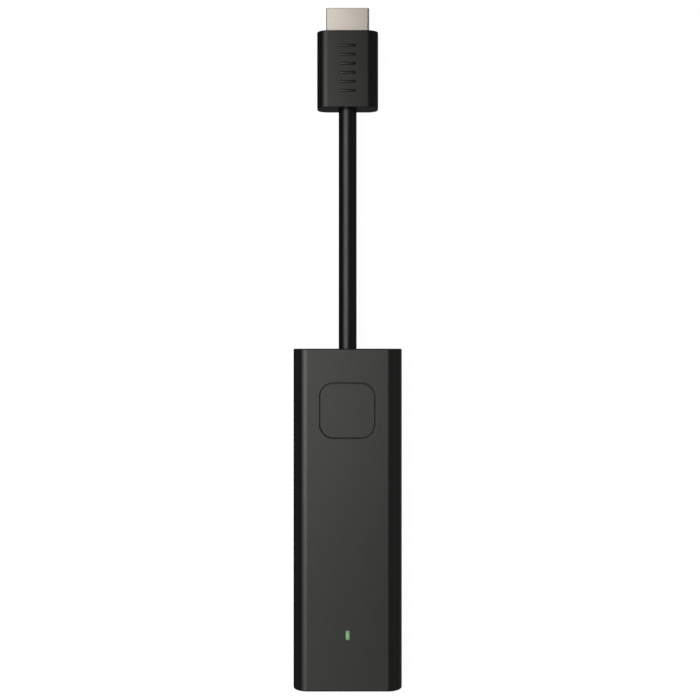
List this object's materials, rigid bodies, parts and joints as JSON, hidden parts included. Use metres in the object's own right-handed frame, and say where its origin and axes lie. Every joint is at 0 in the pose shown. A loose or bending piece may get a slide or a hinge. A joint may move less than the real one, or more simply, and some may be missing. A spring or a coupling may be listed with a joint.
{
  "type": "streaming media player",
  "caption": "Slim dark media player with a square front button and a status light, on a short fixed lead with a flat video plug.",
  "frame": {"origin": "middle of the body's back face, which the player lies on", "axes": "+Z out of the front face, +Y along the body towards the lead and plug, +X to the right seen from the front with the plug up"},
  "size_m": [0.035, 0.2197, 0.013],
  "materials": {
    "cover_plastic": "fine satin moulding, charcoal black",
    "clear_green": "frosted clear resin, tinted green by the light behind it",
    "label_film": "matt printed film, blank",
    "circuit_board": "green solder mask",
    "zinc_steel": "bright zinc plate",
    "black_resin": "glass-filled resin",
    "red_resin": "moulded resin",
    "led_lens": "clear epoxy over phosphor",
    "chip_resin": "matt epoxy with a fine grain",
    "tinned_sheet": "tin plate",
    "heat_pad": "soft filled silicone",
    "rolled_aluminium": "rolled sheet",
    "gold_plate": "thin gold flash",
    "ferrite": "pressed ferrite",
    "ceramic_tan": "fired ceramic with tinned ends",
    "nickel_steel": "nickel plate",
    "lead_rubber": "smooth satin elastomer",
    "wire_insulation": "foamed polyethylene",
    "grip_plastic": "satin flexible moulding",
    "inner_mould_plastic": "natural polyethylene",
    "nickel_plug": "warm satin nickel plate"
  },
  "bodies": {
    "housing": {"front_cover": "cover_plastic", "rear_cover": "cover_plastic", "light_pipe": "clear_green", "rating_label": "label_film", "main_board": "circuit_board", "board_screws": "zinc_steel", "switch_base": "black_resin", "switch_dome": "zinc_steel", "switch_frame": "zinc_steel", "status_led": "led_lens", "processor": "chip_resin", "memory_chip": "chip_resin", "storage_chip": "chip_resin", "shield_frame": "tinned_sheet", "shield_lid": "tinned_sheet", "chip_pad": "heat_pad", "spreader_pad": "heat_pad", "heat_spreader": "rolled_aluminium", "radio_module": "circuit_board", "radio_can": "tinned_sheet", "antenna_left": "gold_plate", "antenna_right": "gold_plate", "power_chip": "chip_resin", "inductors": "ferrite", "capacitors": "ceramic_tan", "crystal": "tinned_sheet", "power_jack_shell": "nickel_steel", "power_jack_tongue": "black_resin", "power_jack_contacts": "gold_plate", "cable_grommet": "lead_rubber", "cable_wires": "wire_insulation", "wire_clamp": "tinned_sheet", "cable_jacket": "lead_rubber", "plug_overmold": "grip_plastic", "plug_inner_mould": "inner_mould_plastic", "plug_shell": "nickel_plug", "plug_insulator": "black_resin", "plug_contacts": "gold_plate"},
    "button": {"button_cap": "cover_plastic", "switch_plunger": "red_resin"}
  },
  "joints": [
    {"name": "button_press", "type": "slide", "parent": "housing", "child": "button", "axis": [0, 0, -1], "range_m": [0, 0.0004], "stiffness_N_per_m": 4000, "deforming": ["switch_dome"]}
  ]
}
